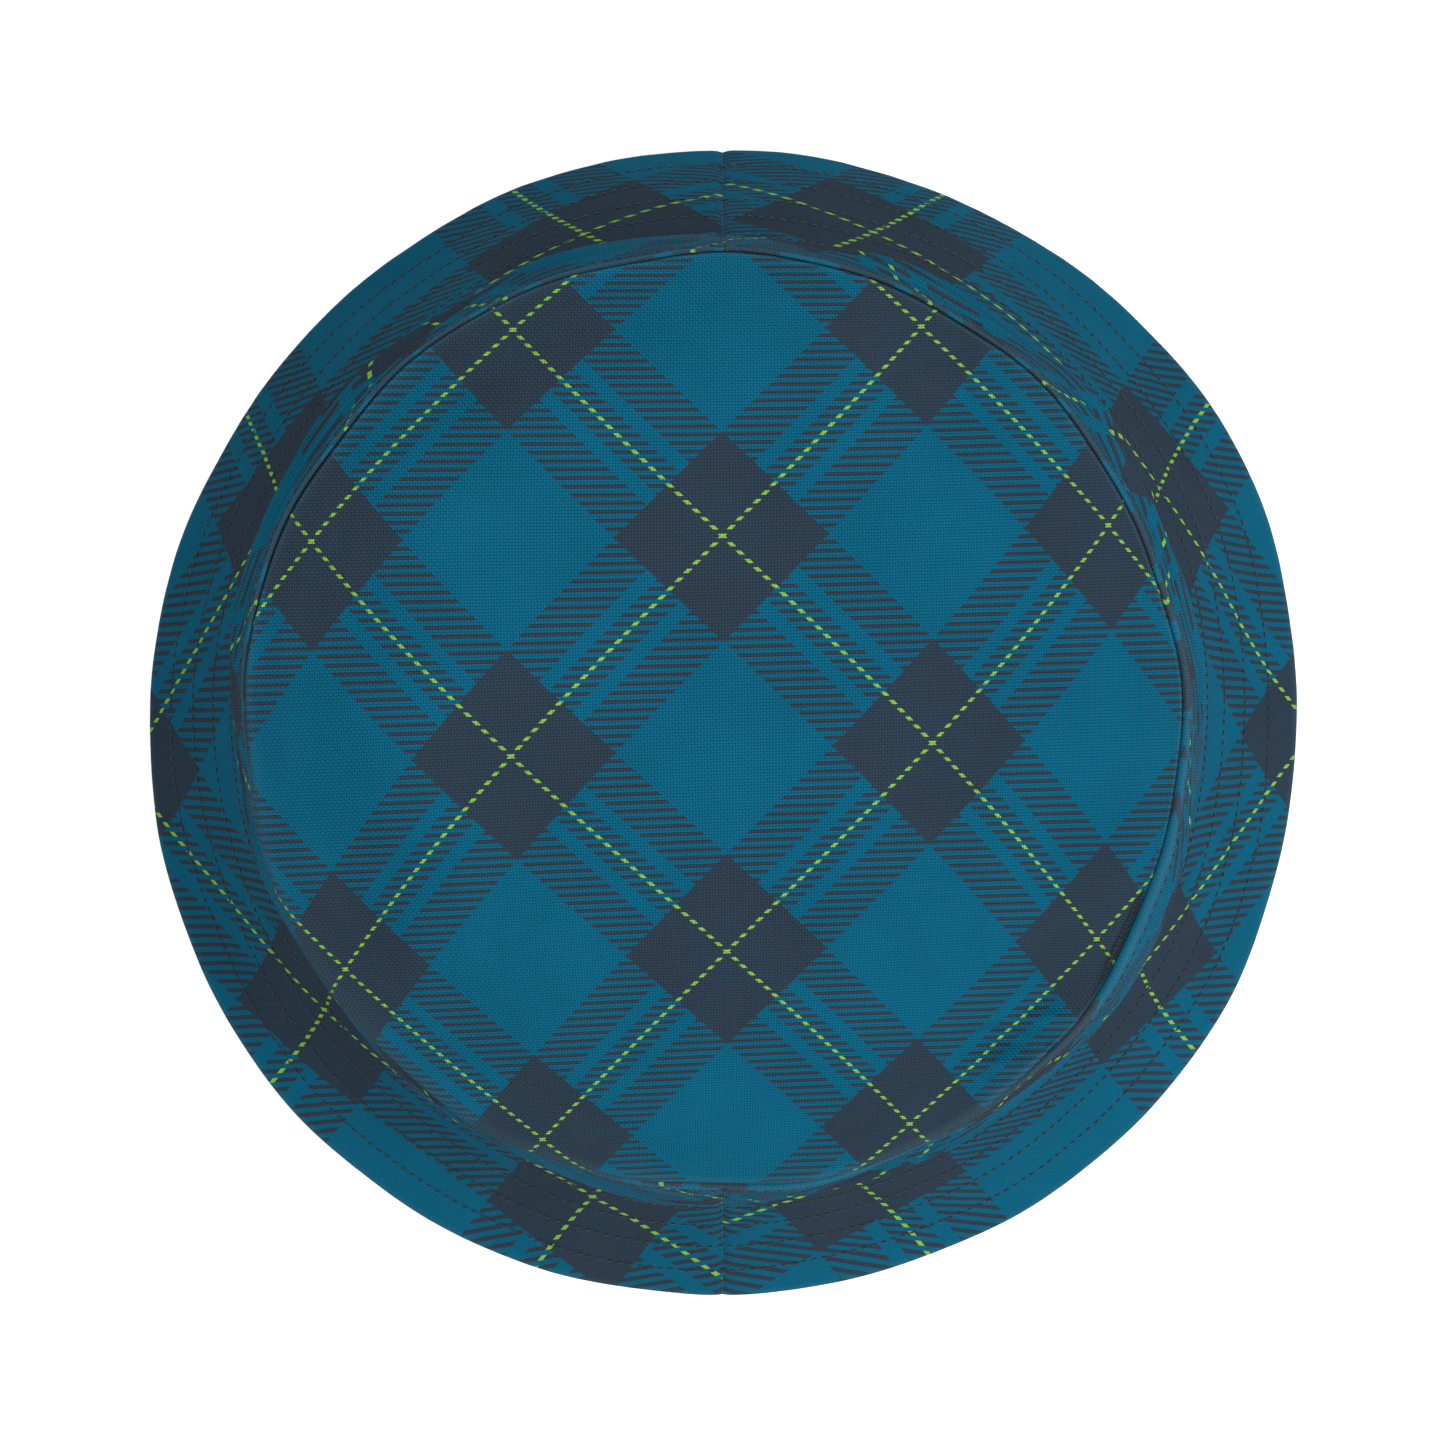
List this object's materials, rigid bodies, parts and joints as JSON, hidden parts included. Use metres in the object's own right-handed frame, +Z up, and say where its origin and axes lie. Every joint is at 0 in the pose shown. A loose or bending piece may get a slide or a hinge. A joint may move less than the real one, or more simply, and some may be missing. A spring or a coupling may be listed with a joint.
{
  "type": "bucket hat",
  "caption": "Bucket hat: a round crown with a flat top panel and a steep stitched brim, in bias tartan cloth, with a sweatband inside.",
  "frame": {"origin": "on the hat's axis, in the plane that the brim's hem stands in", "axes": "+Z up along the crown's axis, +Y towards the back seam, +X to the wearer's right when the back seam is behind"},
  "size_m": [0.2448, 0.2448, 0.1405],
  "materials": {
    "tartan_canvas": "matte woven polyester",
    "tartan_canvas_under": "matte woven polyester",
    "interlining": "matte nonwoven",
    "sweatband_twill": "matte twill",
    "seam_tape": "matte twill tape",
    "thread": "spun polyester",
    "label_satin": "soft satin"
  },
  "bodies": {
    "hat": {"crown_top_panel": "tartan_canvas", "crown_side_panel_left": "tartan_canvas", "crown_side_panel_right": "tartan_canvas", "brim_upper_left": "tartan_canvas", "brim_upper_right": "tartan_canvas", "brim_under_left": "tartan_canvas_under", "brim_under_right": "tartan_canvas_under", "brim_interlining_left": "interlining", "brim_interlining_right": "interlining", "sweatband": "sweatband_twill", "crown_top_seam_tape": "seam_tape", "front_seam_tape": "seam_tape", "back_seam_tape": "seam_tape", "crown_top_topstitch": "thread", "crown_base_topstitch": "thread", "brim_stitch_row_1": "thread", "brim_stitch_row_2": "thread", "brim_stitch_row_3": "thread", "brim_stitch_row_4": "thread", "brim_stitch_row_5": "thread", "brim_stitch_row_6": "thread", "front_tape_stitching": "thread", "back_tape_stitching": "thread", "label_stitching": "thread"},
    "label": {"care_label": "label_satin"}
  },
  "joints": [
    {"name": "label_flap", "type": "hinge", "parent": "hat", "child": "label", "pos_m": [0, 0.08966, 0.11073], "axis": [-1, 0, 0], "range_deg": [-3, 150]}
  ]
}
